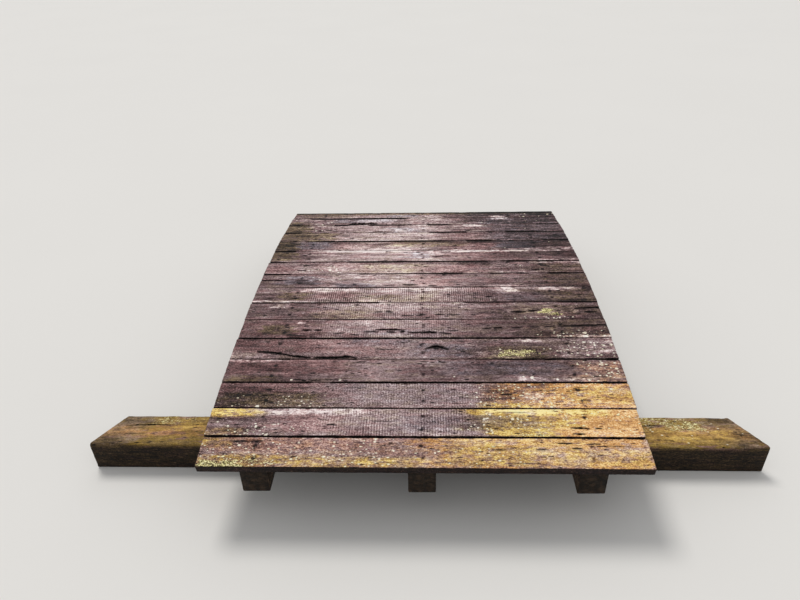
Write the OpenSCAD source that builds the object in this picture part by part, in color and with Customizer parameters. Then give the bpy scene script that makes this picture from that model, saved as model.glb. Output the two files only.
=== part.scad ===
// Low cambered plank footbridge: boards nailed across three shaped bearers, on two sill beams.
// Origin: middle of the footprint, on the ground under the sills. X runs along the boards,
// Y along the walkway and Z up. Sizes in millimetres.

/* [Deck boards] */
// Length of each deck board, across the walkway
board_l = 1200; // [900:10:1500]
// Width of each deck board, along the walkway
board_w = 96; // [80:1:150]
// Thickness of each deck board
board_t = 25; // [20:1:40]
// Drainage gap between neighbouring boards, at their undersides
board_gap = 4; // [2:0.5:10]
// Number of deck boards
board_count = 16; // [10:1:19]
// Width of the worn arris along a board's top edges
board_arris = 2.5; // [1:0.5:5]
// How far the sawn board ends stray to either side of the line
end_stray = 1; // [0:0.5:10]

/* [Camber] */
// Radius of the bearers' curved top edge
camber_r = 4700; // [3900:50:12000]

/* [Bearers] */
// Number of bearers under the deck
bearer_count = 3; // [2:1:4]
// Width of each bearer
bearer_w = 75; // [50:1:100]
// Depth of each bearer in the middle of the span
bearer_depth = 150; // [145:1:220]
// Spacing of the bearers, centre to centre
bearer_spacing = 450; // [200:5:550]
// Set-back of the bearer ends from the end of the deck
bearer_setback = 8; // [0:1:40]

/* [Sill beams] */
// Length of the near sill beam along its near edge, which runs on past both sides of the deck
near_sill_l = 2000; // [1500:10:2400]
// How much shorter the near sill beam is along its far edge, at each of its skew-sawn ends
near_sill_skew = 75; // [0:5:120]
// Length of the far sill beam, which stays under the deck
far_sill_l = 1200; // [1100:10:2400]
// Width of each sill beam, along the walkway
sill_w = 125; // [75:1:200]
// Depth of each sill beam
sill_h = 100; // [50:1:200]
// Distance from the end of the deck to the middle of a sill beam
sill_inset = 250; // [140:5:350]
// Width of the worn arris along a sill beam's top edges
sill_arris = 5; // [1:1:12]

/* [Hidden] */
BOARD_COLOUR = [0.42, 0.33, 0.29];
BEARER_COLOUR = [0.34, 0.24, 0.17];
SILL_COLOUR = [0.62, 0.45, 0.18];
CAMBER_FACETS = 1440;
// Turn between neighbouring samples of the stray, chosen so that it never repeats along the deck
STRAY_TURN = 137.5;

board_pitch = board_w + board_gap;
pitch_angle = board_pitch / camber_r * 180 / PI;
camber_centre_z = sill_h + bearer_depth - camber_r;
end_angle = board_angle(board_count);
// Half the deck's length, to the lower edge of an end board and to its upper edge
deck_half_low = camber_r * sin(end_angle) + board_w / 2 * cos(end_angle);
deck_half_top = deck_half_low + board_t * sin(end_angle);
bearer_l = 2 * (deck_half_low - bearer_setback);
sill_y = deck_half_top - sill_inset;

function two_digits(i) = str(i < 10 ? "0" : "", i);
function board_name(i) = str("deck_board_", two_digits(i));
function bearer_name(k) = str("bearer_", two_digits(k));

// Angle of a board from the top of the camber, from the near end to the far end
function board_angle(i) = (i - (board_count + 1) / 2) * pitch_angle;

// Sideways shift of a board, because the boards were cut and laid by hand
function board_shift(i) = end_stray * sin(i * STRAY_TURN);

// Place of a bearer across the walkway, from the left side to the right side
function bearer_x(k) = (k - (bearer_count + 1) / 2) * bearer_spacing;

// Runs a section, drawn with Y to the right and Z up, along the X axis about the middle
module along_x(len) {
    translate([-len / 2, 0, 0])
    rotate([90, 0, 90])
    linear_extrude(height = len)
    children();
}

// Rectangle on the base line whose two top corners are worn back
module worn_section(w, h, arris) {
    polygon([
        [-w / 2, 0],
        [w / 2, 0],
        [w / 2, h - arris],
        [w / 2 - arris, h],
        [-w / 2 + arris, h],
        [-w / 2, h - arris]
    ]);
}

// One deck board, laid flat on the camber so that neighbouring joints fan open
module deck_board(i) {
    color(BOARD_COLOUR)
    translate([board_shift(i), 0, camber_centre_z])
    rotate([-board_angle(i), 0, 0])
    translate([0, 0, camber_r])
    along_x(board_l)
    worn_section(board_w, board_t, board_arris);
}

// Side view of a bearer: flat underside, square ends, top sawn to the camber
module bearer_profile() {
    intersection() {
        translate([-bearer_l / 2, 0])
        square([bearer_l, bearer_depth]);

        translate([0, bearer_depth - camber_r])
        circle(r = camber_r, $fn = CAMBER_FACETS);
    }
}

module bearer(k) {
    color(BEARER_COLOUR)
    translate([bearer_x(k), 0, sill_h])
    along_x(bearer_w)
    bearer_profile();
}

// Plan of a beam whose two ends are sawn on the skew, so that its far edge is the shorter one
module skew_plan(len, w, skew) {
    polygon([
        [-len / 2, -w / 2],
        [len / 2, -w / 2],
        [len / 2 - skew, w / 2],
        [-len / 2 + skew, w / 2]
    ]);
}

// Beam laid on the bank under the bearers, with its middle at y
module sill(len, skew, y) {
    color(SILL_COLOUR)
    translate([0, y, 0])
    intersection() {
        along_x(len)
        worn_section(sill_w, sill_h, sill_arris);

        linear_extrude(height = sill_h)
        skew_plan(len, sill_w, skew);
    }
}

for (i = [1:board_count]) {
    deck_board(i);
}
for (k = [1:bearer_count]) {
    bearer(k);
}
sill(near_sill_l, near_sill_skew, -sill_y);  // sill_near
sill(far_sill_l, 0, sill_y);  // sill_far
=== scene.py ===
import math
from dataclasses import dataclass

import bpy
import numpy as np
from mathutils import Matrix, Vector


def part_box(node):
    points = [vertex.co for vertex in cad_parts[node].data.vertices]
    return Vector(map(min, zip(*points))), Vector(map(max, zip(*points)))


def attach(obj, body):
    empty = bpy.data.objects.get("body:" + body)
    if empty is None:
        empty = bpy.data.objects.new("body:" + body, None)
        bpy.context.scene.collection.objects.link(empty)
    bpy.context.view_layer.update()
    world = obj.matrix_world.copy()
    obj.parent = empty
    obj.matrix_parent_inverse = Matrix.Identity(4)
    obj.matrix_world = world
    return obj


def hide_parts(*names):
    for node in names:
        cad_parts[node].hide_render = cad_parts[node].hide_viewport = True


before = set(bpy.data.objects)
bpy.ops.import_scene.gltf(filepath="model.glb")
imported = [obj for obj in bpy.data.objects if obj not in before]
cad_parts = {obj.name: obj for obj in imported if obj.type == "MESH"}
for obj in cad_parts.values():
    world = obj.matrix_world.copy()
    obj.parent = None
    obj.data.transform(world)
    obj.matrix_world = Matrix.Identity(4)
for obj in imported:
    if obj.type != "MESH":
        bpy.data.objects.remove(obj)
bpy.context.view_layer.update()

# Weathered plank footbridge: worn timber, nails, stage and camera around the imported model.
# The timber builders work in millimetres, in each timber's own axes: s along it, v across it
# and h up from its underside. Blender gets metres.

MM = 0.001

# Deck, as the frame has it
BOARDS = sorted(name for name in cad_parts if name.startswith("deck_board"))
BEARERS = sorted(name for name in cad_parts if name.startswith("bearer"))
CAMBER_RADIUS = 4700
BOARD_PITCH = 100
BOARD_WIDTH = 96
BOARD_THICK = 25
BOARD_GAP = BOARD_PITCH - BOARD_WIDTH
PITCH_ANGLE = BOARD_PITCH / CAMBER_RADIUS
NAIL_INSET = 28

# Near sill beam, whose ends are sawn on the skew: how much shorter its far edge is at each end
NEAR_SILL_SKEW = 75

# Camera, fitted to the seams, the board ends and the nail rows
CAMERA_PLACE = (0.0134, -1.9562, 1.449)
CAMERA_DOWN = 32.11
CAMERA_YAW = -2.806
CAMERA_ROLL = -1.732
CAMERA_LENS = 28.51
SENSOR_WIDTH = 36

# Light, which comes from behind the bridge to its left, and floor
SKY_COLOUR = (0.97, 0.98, 1, 1)
SKY_STRENGTH = 0.6
LAMP_COLOUR = (1, 0.98, 0.95)
LAMP_STRENGTH = 1.5
LAMP_SPREAD = 20
LAMP_FROM = (-0.5, 0.75, 1.6)
FLOOR_REACH = 30
FLOOR_COLOUR = (226, 224, 220)

# Seeds of the random fields and draws
JOINT_SEED = 300
NAIL_PLACE_SEED = 500
STAIN_SEED = 1000
RELIEF_SEED = 2000
BOARD_SEED = 4000
TONE_SEED = 6000
BEARER_SEED = 7000
SILL_SEEDS = {"sill_near": 8100, "sill_far": 8200}
NAIL_SEED = 9000

# Smooth random fields: how many bumps there are before they repeat
LATTICE = 256


def ease(t):
    """Smooth step of a share between 0 and 1"""
    t = np.clip(t, 0, 1)
    return t * t * (3 - 2 * t)


def smooth_noise(x, y, size_x, size_y, seed):
    """Smooth random field between -1 and 1 whose bumps have about the given size"""
    table = np.random.default_rng(seed).uniform(-1, 1, (LATTICE, LATTICE))
    gx, gy = np.broadcast_arrays(np.asarray(x) / size_x, np.asarray(y) / size_y)
    ix, iy = np.floor(gx).astype(int), np.floor(gy).astype(int)
    fx, fy = ease(gx - ix), ease(gy - iy)

    def row(k):
        low, high = table[ix % LATTICE, (iy + k) % LATTICE], table[(ix + 1) % LATTICE, (iy + k) % LATTICE]
        return low * (1 - fx) + high * fx

    return row(0) * (1 - fy) + row(1) * fy


def layered_noise(start, x, y, layers, seed):
    """Start plus smooth fields, each given by its strength and the size of its bumps along and across"""
    for k, (strength, size_x, size_y) in enumerate(layers):
        start = start + strength * smooth_noise(x, y, size_x, size_y, seed + k)
    return start


def window(x, start, end, soft):
    """1 between start and end, easing to 0 over the soft distance outside them"""
    return ease(np.minimum((x - start) / soft, (end - x) / soft) + 1)


# Timber meshes

@dataclass
class Track:
    """A line that follows the grain along a face and opens into cracks here and there"""

    centre: np.ndarray
    left: np.ndarray
    right: np.ndarray
    depth: np.ndarray
    steep: bool


@dataclass
class Face:
    """One long face of a timber: its tracks, how many rows lie between them, and its worn relief"""

    tracks: list
    fill: int = 1
    relief: object = None


# Sections of a split and of a fine check: share of the half width and share of the depth
STEEP_SHAPE = [(-1, 0), (-0.8, 0.6), (0, 1), (0.8, 0.7), (1, 0)]
FINE_SHAPE = [(-1, 0), (0, 1), (1, 0)]
STEEP_LIP = 0.45  # how much painted shade darkens the lips of a split, and of a fine check
FINE_LIP = 0.3
FULL_SHADE_DEPTH = 3  # depth from which a crack is painted black, in full shade
CLOSED = 0.2  # half the width of a track where it isn't cracked
# How much wider a split is than its table says, and a deep one, and how it wanders from its line
SPLIT_SPREAD = 1.1
DEEP_SPREAD = 1.6
DEEP = 8
SPLIT_WANDER = [(1.0, 16, 1), (0.6, 6, 1)]
# Fine tracks: how far they sway, over what length and from what room on, and the range of their checks
FINE_SWAY = 1.6
SWAY_LENGTH = 170
FINE_ROOM = 25
FINE_LENGTH = (20, 110)
FINE_WIDTH = (0.5, 1.3)
FINE_DEPTH = (1, 3)
# Rows across a face: distance of the first from its corner, and least distance between two
MARGIN = 1.5
LEAST_STEP = 0.12
# The two rows of each rounded corner: their angles, and how far they belong to the top face
CORNER_ANGLES = (math.radians(30), math.radians(60))
CORNER_SHARES = [(0.2, 0.7), (0.7, 0.2), (0, 0), (0, 0)]
SMOOTH_ANGLE = math.radians(50)
# Ends of a timber: places of the last columns and of the next one, how far the arrises draw in and over
# what length, and how far in and how finely the saw has torn it
END_COLUMNS = np.array([0, 0.7, 1.6, 3.5])
NEXT_COLUMN = 6
END_EASING = 1.1
EASING_LENGTH = 1.6
TORN_LENGTH = 25
TORN_SIZE = 5


def open_cracks(s, cracks, seed):
    """Left and right half widths and depth of the cracks along a track"""
    left, right, depth = np.full_like(s, CLOSED), np.full_like(s, CLOSED), np.zeros_like(s)
    for k, (start, end, width, deep) in enumerate(cracks):
        lens = np.sin(math.pi * np.clip((s - start) / (end - start), 0, 1))
        for side, half in enumerate((left, right)):
            half += width / 2 * lens ** 0.55 * (0.8 + 0.55 * smooth_noise(s, k, 8, 1, seed + side))
        depth = np.maximum(depth, deep * lens ** 0.35)
    return left, right, depth


def long_track(s, path, cracks, seed):
    """A track for a split, through the given points"""
    centre = layered_noise(np.interp(s, *zip(*path)), s, 0, SPLIT_WANDER, seed + 2)
    wide = [(start, end, (DEEP_SPREAD if deep >= DEEP else SPLIT_SPREAD) * width, deep)
            for start, end, width, deep in cracks]
    return Track(centre, *open_cracks(s, wide, seed), True)


def grain_tracks(s, low, high, long_tracks, spacing, checks, seed):
    """All tracks of a face, in order: the long ones, and fine ones that flow between them"""
    rng = np.random.default_rng(seed)
    lines = [low] + [track.centre for track in long_tracks] + [high]
    tracks = []
    for k, line in enumerate(lines[:-1]):
        room = lines[k + 1] - line
        count = max(0, round(float(np.mean(room)) / spacing) - 1)
        for j in range(count):
            share = (j + 1 + rng.uniform(-0.3, 0.3)) / (count + 1)
            sway = FINE_SWAY * smooth_noise(s, j + 7 * k, SWAY_LENGTH, 1, seed + 5)
            sway = sway * np.clip(room / FINE_ROOM, 0, 1)
            cracks = []
            for _ in range(rng.poisson(checks)):
                start = rng.uniform(s[0] - 30, s[-1])
                end = start + rng.uniform(*FINE_LENGTH)
                cracks.append((start, end, rng.uniform(*FINE_WIDTH), rng.uniform(*FINE_DEPTH)))
            opened = open_cracks(s, cracks, seed + 11 + j + 9 * k)
            tracks.append(Track(line + share * room + sway, *opened, False))
        tracks += long_tracks[k:k + 1]
    return tracks


def lay_face(start, end, tracks, fill):
    """Rows across a face from one corner line to the next, crowded at its tracks

    Returns the distance of each row from the start, its depth, and how much painted shade darkens it in a
    crack.
    """
    flat = np.zeros_like(start)
    rows = [(start, flat, flat), (start + MARGIN, flat, flat)]

    def fill_to(target):
        begin = rows[-1][0]
        for k in range(fill):
            rows.append((begin + (target - begin) * (k + 1) / (fill + 1), flat, flat))

    for track in tracks:
        fill_to(track.centre - track.left)
        lip = STEEP_LIP if track.steep else FINE_LIP
        for side, share in STEEP_SHAPE if track.steep else FINE_SHAPE:
            place = track.centre + side * (track.left if side < 0 else track.right)
            black = max(share, lip) * np.clip(track.depth / FULL_SHADE_DEPTH, 0, 1)
            rows.append((place, share * track.depth, black))
    fill_to(end - MARGIN)
    rows += [(end - MARGIN, flat, flat), (end, flat, flat)]

    along, depth, crack_shading = (np.array(column) for column in zip(*rows))
    least = LEAST_STEP * np.arange(len(rows))[:, None]
    return np.maximum.accumulate(along - least, axis=0) + least, depth, crack_shading


def middle_and_half(values):
    """Middle and half width of the range of some values"""
    low, high = values.min(), values.max()
    return (high + low) / 2, (high - low) / 2


def new_mesh(name, points, faces):
    """Blender mesh from points in millimetres, smooth but for its arrises"""
    mesh = bpy.data.meshes.new(name)
    mesh.from_pydata((np.array(points) * MM).tolist(), [], faces)
    mesh.shade_smooth()
    mesh.set_sharp_from_angle(angle=SMOOTH_ANGLE)
    return mesh


def new_object(name, data):
    """Blender object of a mesh, lamp or camera, in the scene"""
    made = bpy.data.objects.new(name, data)
    bpy.context.scene.collection.objects.link(made)
    return made


class Bar:
    """Points round and along a timber, with row 0 at its lower near corner

    Each array has one row for each line along the timber and one column for each place along it.
    """

    def __init__(self, s, near, far, high, radii, faces):
        low = np.zeros_like(s)
        corners = [(near, low), (near, high), (far, high), (far, low)]
        steps = [(0, 1), (1, 0), (0, -1), (-1, 0)]
        v_rows, h_rows, crack_shading_rows, top_rows = [], [], [], []
        for k, face in enumerate(faces):
            (v0, h0), (v1, h1) = corners[k], corners[(k + 1) % 4]
            (dv, dh), (iv, ih) = steps[k], steps[(k + 1) % 4]
            radius = radii[k]
            end = (v1 - v0) * dv + (h1 - h0) * dh - radius
            along, depth, crack_shading = lay_face(radii[k - 1], end, face.tracks, face.fill)
            relief = np.zeros_like(along)
            if face.relief:
                relief = face.relief(s[None, :], along.mean(1, keepdims=True))
            depth = depth + relief
            v_rows.append(v0 + dv * along + iv * depth)
            h_rows.append(h0 + dh * along + ih * depth)
            crack_shading_rows.append(crack_shading)
            top_rows += [float(k == 1)] * len(along)
            for angle, raised in zip(CORNER_ANGLES, CORNER_SHARES[k]):
                ov = -iv * math.cos(angle) + dv * math.sin(angle)
                oh = -ih * math.cos(angle) + dh * math.sin(angle)
                reach = radius - relief[-1]
                v_rows.append((v1 - dv * radius + iv * radius + ov * reach)[None, :])
                h_rows.append((h1 - dh * radius + ih * radius + oh * reach)[None, :])
                crack_shading_rows.append(low[None, :])
                top_rows.append(raised)
        self.v, self.h, self.crack_shading = (np.concatenate(rows) for rows in (v_rows, h_rows, crack_shading_rows))
        self.top = np.array(top_rows)[:, None]
        self.s = np.broadcast_to(s, self.v.shape).copy()
        self.grain = [self.s.copy()]
        for across in (self.v, self.h):
            self.grain.append(np.broadcast_to(across.mean(1, keepdims=True), self.v.shape))
        self.grit_size = GRIT_NEAR
        self.end = np.zeros_like(self.s)

    def finish_ends(self, skew, ragged, seed):
        """Eases the end corners and makes the sawn ends slightly skew and ragged, always inward"""
        mid_v, half_v = middle_and_half(self.v)
        mid_h, half_h = middle_and_half(self.h)
        _, grain_v, grain_h = self.grain
        for slant, side, column in zip(skew, (-1, 1), (0, -1)):
            away = np.abs(self.s - self.s[0, column])
            inward = END_EASING * np.clip(1 - away / EASING_LENGTH, 0, 1) ** 2
            self.v -= (self.v - mid_v) / half_v * inward
            self.h -= (self.h - mid_h) / half_h * inward
            cut = slant * (0.5 + 0.5 * side * (grain_v - mid_v) / half_v)
            torn = ragged * (0.5 + 0.5 * smooth_noise(grain_v, grain_h, TORN_SIZE, TORN_SIZE, seed + side))
            self.s -= side * (np.abs(cut) + torn) * np.clip(1 - away / TORN_LENGTH, 0, 1)
            self.end = np.maximum(self.end, (away < END_COLUMNS[1] / 2).astype(float))

    def mesh(self, name, place, masks):
        """Blender mesh of the bar, with its masks as vertex attributes"""
        rows, columns = self.v.shape
        number = np.arange(rows * columns).reshape(rows, columns)
        turned = np.roll(number, -1, axis=0)
        quads = np.stack([number[:, :-1], number[:, 1:], turned[:, 1:], turned[:, :-1]], -1).reshape(-1, 4)
        faces = quads.tolist() + [number[:, 0].tolist(), number[::-1, -1].tolist()]
        mesh = new_mesh(name, np.stack(place(self.s, self.v, self.h), -1).reshape(-1, 3), faces)

        def keep(layer, kind, field, values):
            data = mesh.attributes.new(layer, kind, "POINT").data
            data.foreach_set(field, values.astype(np.float32).ravel())

        along, across = self.grit_size
        keep("grain", "FLOAT_VECTOR", "vector", np.stack(self.grain, -1) * MM)
        grit = np.stack([self.grain[0] / along, self.v / across, self.h / across], -1)
        keep("grit", "FLOAT_VECTOR", "vector", grit)
        for mask in MASKS:
            keep(mask, "FLOAT", "value", np.broadcast_to(masks.get(mask, 0.0), self.v.shape))
        return mesh


def columns_along(length, step):
    """Places along a timber, closer together at its ends"""
    inner = np.linspace(-length / 2 + NEXT_COLUMN, length / 2 - NEXT_COLUMN, round(length / step))
    return np.concatenate([-length / 2 + END_COLUMNS, inner, length / 2 - END_COLUMNS[::-1]])


# How each deck board has weathered, in millimetres from its middle: x to the right, v away from the viewer

MASKS = ("tone", "pale", "gold", "orange", "olive", "moss", "blue", "lichen", "crust", "saw", "crack_shade", "end",
         "red", "rough")

# Splits: the points of the line that each follows, then start, end, width and depth of its open stretches
SPLITS = {
    1: [
        ([(-600, -4), (200, 10), (410, 16), (600, 14)],
         [(190, 225, 1.2, 3), (300, 335, 1.2, 3), (395, 425, 2.2, 4)]),
        ([(-600, 30), (-430, 36), (100, 30), (383, 32), (600, 27)],
         [(-520, -470, 1.5, 3), (-465, -430, 2, 4), (360, 402, 2.6, 5), (440, 475, 2, 4)]),
    ],
    2: [
        ([(-600, -38), (0, -36), (420, -38), (600, -40)], [(405, 440, 4, 6)]),
        ([(-600, -8), (-250, -8), (100, -6), (425, -18), (600, -20)],
         [(-266, -240, 3.5, 5), (403, 450, 5, 6), (468, 490, 2.5, 4)]),
    ],
    3: [
        ([(-600, 0), (-445, -1), (-200, 4), (250, 4), (600, 8)], [(-470, -428, 3.5, 4), (225, 262, 3, 4)]),
    ],
    4: [
        ([(-600, -38), (-330, -41), (-100, -38), (300, -33), (600, -38)],
         [(-385, -350, 2.6, 5), (-340, -300, 2.6, 6), (-292, -240, 1.6, 4)]),
        ([(-600, 32), (-190, 38), (20, 38), (60, 36), (600, 30)],
         [(-205, -172, 2.5, 4), (-8, 18, 2.5, 4), (48, 72, 2.5, 4)]),
    ],
    5: [
        ([(-600, -8), (-515, -14), (-470, -19), (-445, -24), (-410, -34), (-378, -40), (-350, -44),
          (-315, -43), (-290, -44), (-260, -42), (-240, -38), (-222, -41), (-205, -44), (-100, -43),
          (600, -42)],
         [(-522, -395, 4.2, 16), (-408, -345, 5, 18), (-338, -225, 5.6, 20), (-250, -200, 4, 14),
          (-188, -160, 1.5, 3)]),
        ([(-600, 6), (-60, -4), (5, -2), (15, 2), (32, 8), (46, 10), (62, 5), (80, -4), (200, -6), (600, 0)],
         [(8, 84, 3.4, 12), (24, 66, 4, 14), (-150, -80, 1.5, 3)]),
    ],
    6: [
        ([(-600, -38), (-420, -38), (-370, -40), (-230, -32), (-150, -36), (0, -38), (90, -40), (600, -38)],
         [(-415, -372, 3, 6), (-236, -203, 2.6, 5)]),
        ([(-600, -22), (-400, -22), (-290, -24), (-240, -22), (-190, -17), (-140, -15), (-100, -18),
          (-60, -16), (-24, -21), (25, -18), (48, -20), (90, -27), (200, -24), (600, -16)],
         [(-290, -250, 3, 6), (-192, -140, 2.5, 8), (-118, -84, 3.6, 9), (-74, -56, 4.4, 10),
          (-50, 12, 3, 12), (0, 48, 7, 18), (54, 96, 2.4, 8)]),
        ([(-600, -8), (-400, -6), (-330, -8), (-200, -6), (-150, -5), (-60, -6), (0, -8), (90, -12),
          (130, -10), (190, -3), (240, 4), (300, 5), (380, 8), (450, 12), (530, 16), (600, 19)],
         [(-396, -362, 3.4, 8), (-356, -328, 3.4, 8), (-156, -54, 4, 14), (84, 118, 2, 5), (194, 226, 2, 5),
          (230, 262, 3.6, 8), (290, 322, 2.4, 5), (348, 382, 2, 4), (395, 432, 2, 4), (438, 640, 2.6, 8)]),
    ],
    7: [
        ([(-600, -28), (-75, -30), (-8, -25), (60, -22), (126, -22), (300, -24), (544, -11), (600, -11)],
         [(-72, -28, 2.5, 5), (-22, 12, 2.5, 4), (40, 76, 3.2, 6), (80, 128, 2.4, 5), (540, 584, 3.8, 8)]),
        ([(-600, -4), (-500, -4), (-140, -5), (0, -10), (120, -8), (200, -6), (302, -9), (345, -8), (357, -4),
          (380, 0), (397, 3), (470, 2), (516, 11), (540, 15), (600, 15)],
         [(-165, -134, 2, 4), (-128, -98, 2, 4), (298, 350, 5, 10), (354, 400, 4, 9), (512, 640, 3.8, 9)]),
    ],
    8: [
        ([(-600, -20), (-100, -10), (230, -15), (600, -12)], [(-205, -180, 2, 3), (220, 243, 4, 6)]),
    ],
    9: [
        ([(-600, -30), (-283, -28), (-191, -30), (-120, -37), (-82, -34), (-9, -33), (40, -41), (600, -38)],
         [(-142, -100, 2.6, 5), (-74, -16, 4, 8), (20, 54, 3.4, 7)]),
        ([(-600, 4), (-509, 5), (-300, 0), (600, 4)], [(-660, -498, 4, 9), (-470, -420, 3, 5)]),
    ],
    10: [
        ([(-600, -18), (-450, -21), (0, -24), (425, -25), (600, -22)],
         [(-478, -442, 4, 7), (408, 442, 4, 6)]),
        ([(-600, 20), (-445, 22), (-300, 18), (600, 14)], [(-462, -432, 6, 8), (-32, -18, 4, 6)]),
    ],
    11: [
        ([(-600, -8), (60, -5), (600, -8)], [(35, 82, 3, 5)]),
    ],
    13: [
        ([(-600, 10), (-300, 14), (0, 10), (600, 12)], [(-345, -310, 3, 5), (-520, -470, 3, 5)]),
    ],
    14: [
        ([(-600, -26), (-440, -30), (600, -24)], [(-462, -428, 3, 5)]),
    ],
    15: [
        ([(-600, -34), (-400, -33), (-322, -32), (-312, -30), (-268, -29), (-258, -26), (-205, -26),
          (600, -28)], [(-330, -260, 19, 22), (-276, -204, 10, 16)]),
    ],
}

# Joints between board n and board n + 1: how far each is open from its left end on, where 1 is as built,
# and by turns the place where that changes and how far it is open from there
JOINTS = {
    1: (1.05,),
    2: (0.55,),
    3: (0.8, -330, 0.1, -268, 1.0),
    4: (0.3, -510, 0.5, -200, 0.03, 150, 0.3, 240, 0.8, 560, 1.8),
    5: (0.5, -585, 1, 370, 0.35),
    6: (0.45, 150, 0.05),
    7: (0.9, -150, 0.08, 140, 0.75, 430, 0.3, 465, 0.9),
    8: (0.3, -460, 0.6, 260, 0.2),
    9: (1.1, -500, 0.2, -240, 0.9, 150, 0.2, 250, 0.9, 380, 0.3, 465, 1.5, 535, 0.6),
    10: (1.3, -530, 0.6, -290, 1.3, -60, 1.1, 250, 0.3, 300, 1.3, 500, 0.9),
    11: (1.3, -510, 0.15),
    12: (0.4, -490, 1.2, -390, 1.5, 130, 0.2, 180, 1.3, 285, 0.2, 350, 0.8, 450, 0.3, 500, 1.2),
    13: (1.3, -530, 0.6, -400, 0.1, 30, 1.9, 185, 0.2, 275, 0.9, 310, 0.3, 355, 1.9, 485, 1.1),
    14: (1.4, -540, 0.3, -390, 1.6, -330, 0.3, -240, 1.1, -50, 0.2, 20, 2, 104, 0.3, 500, 1.1),
    15: (0.3, -510, 2.6, -75, 0.1),
}
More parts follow.
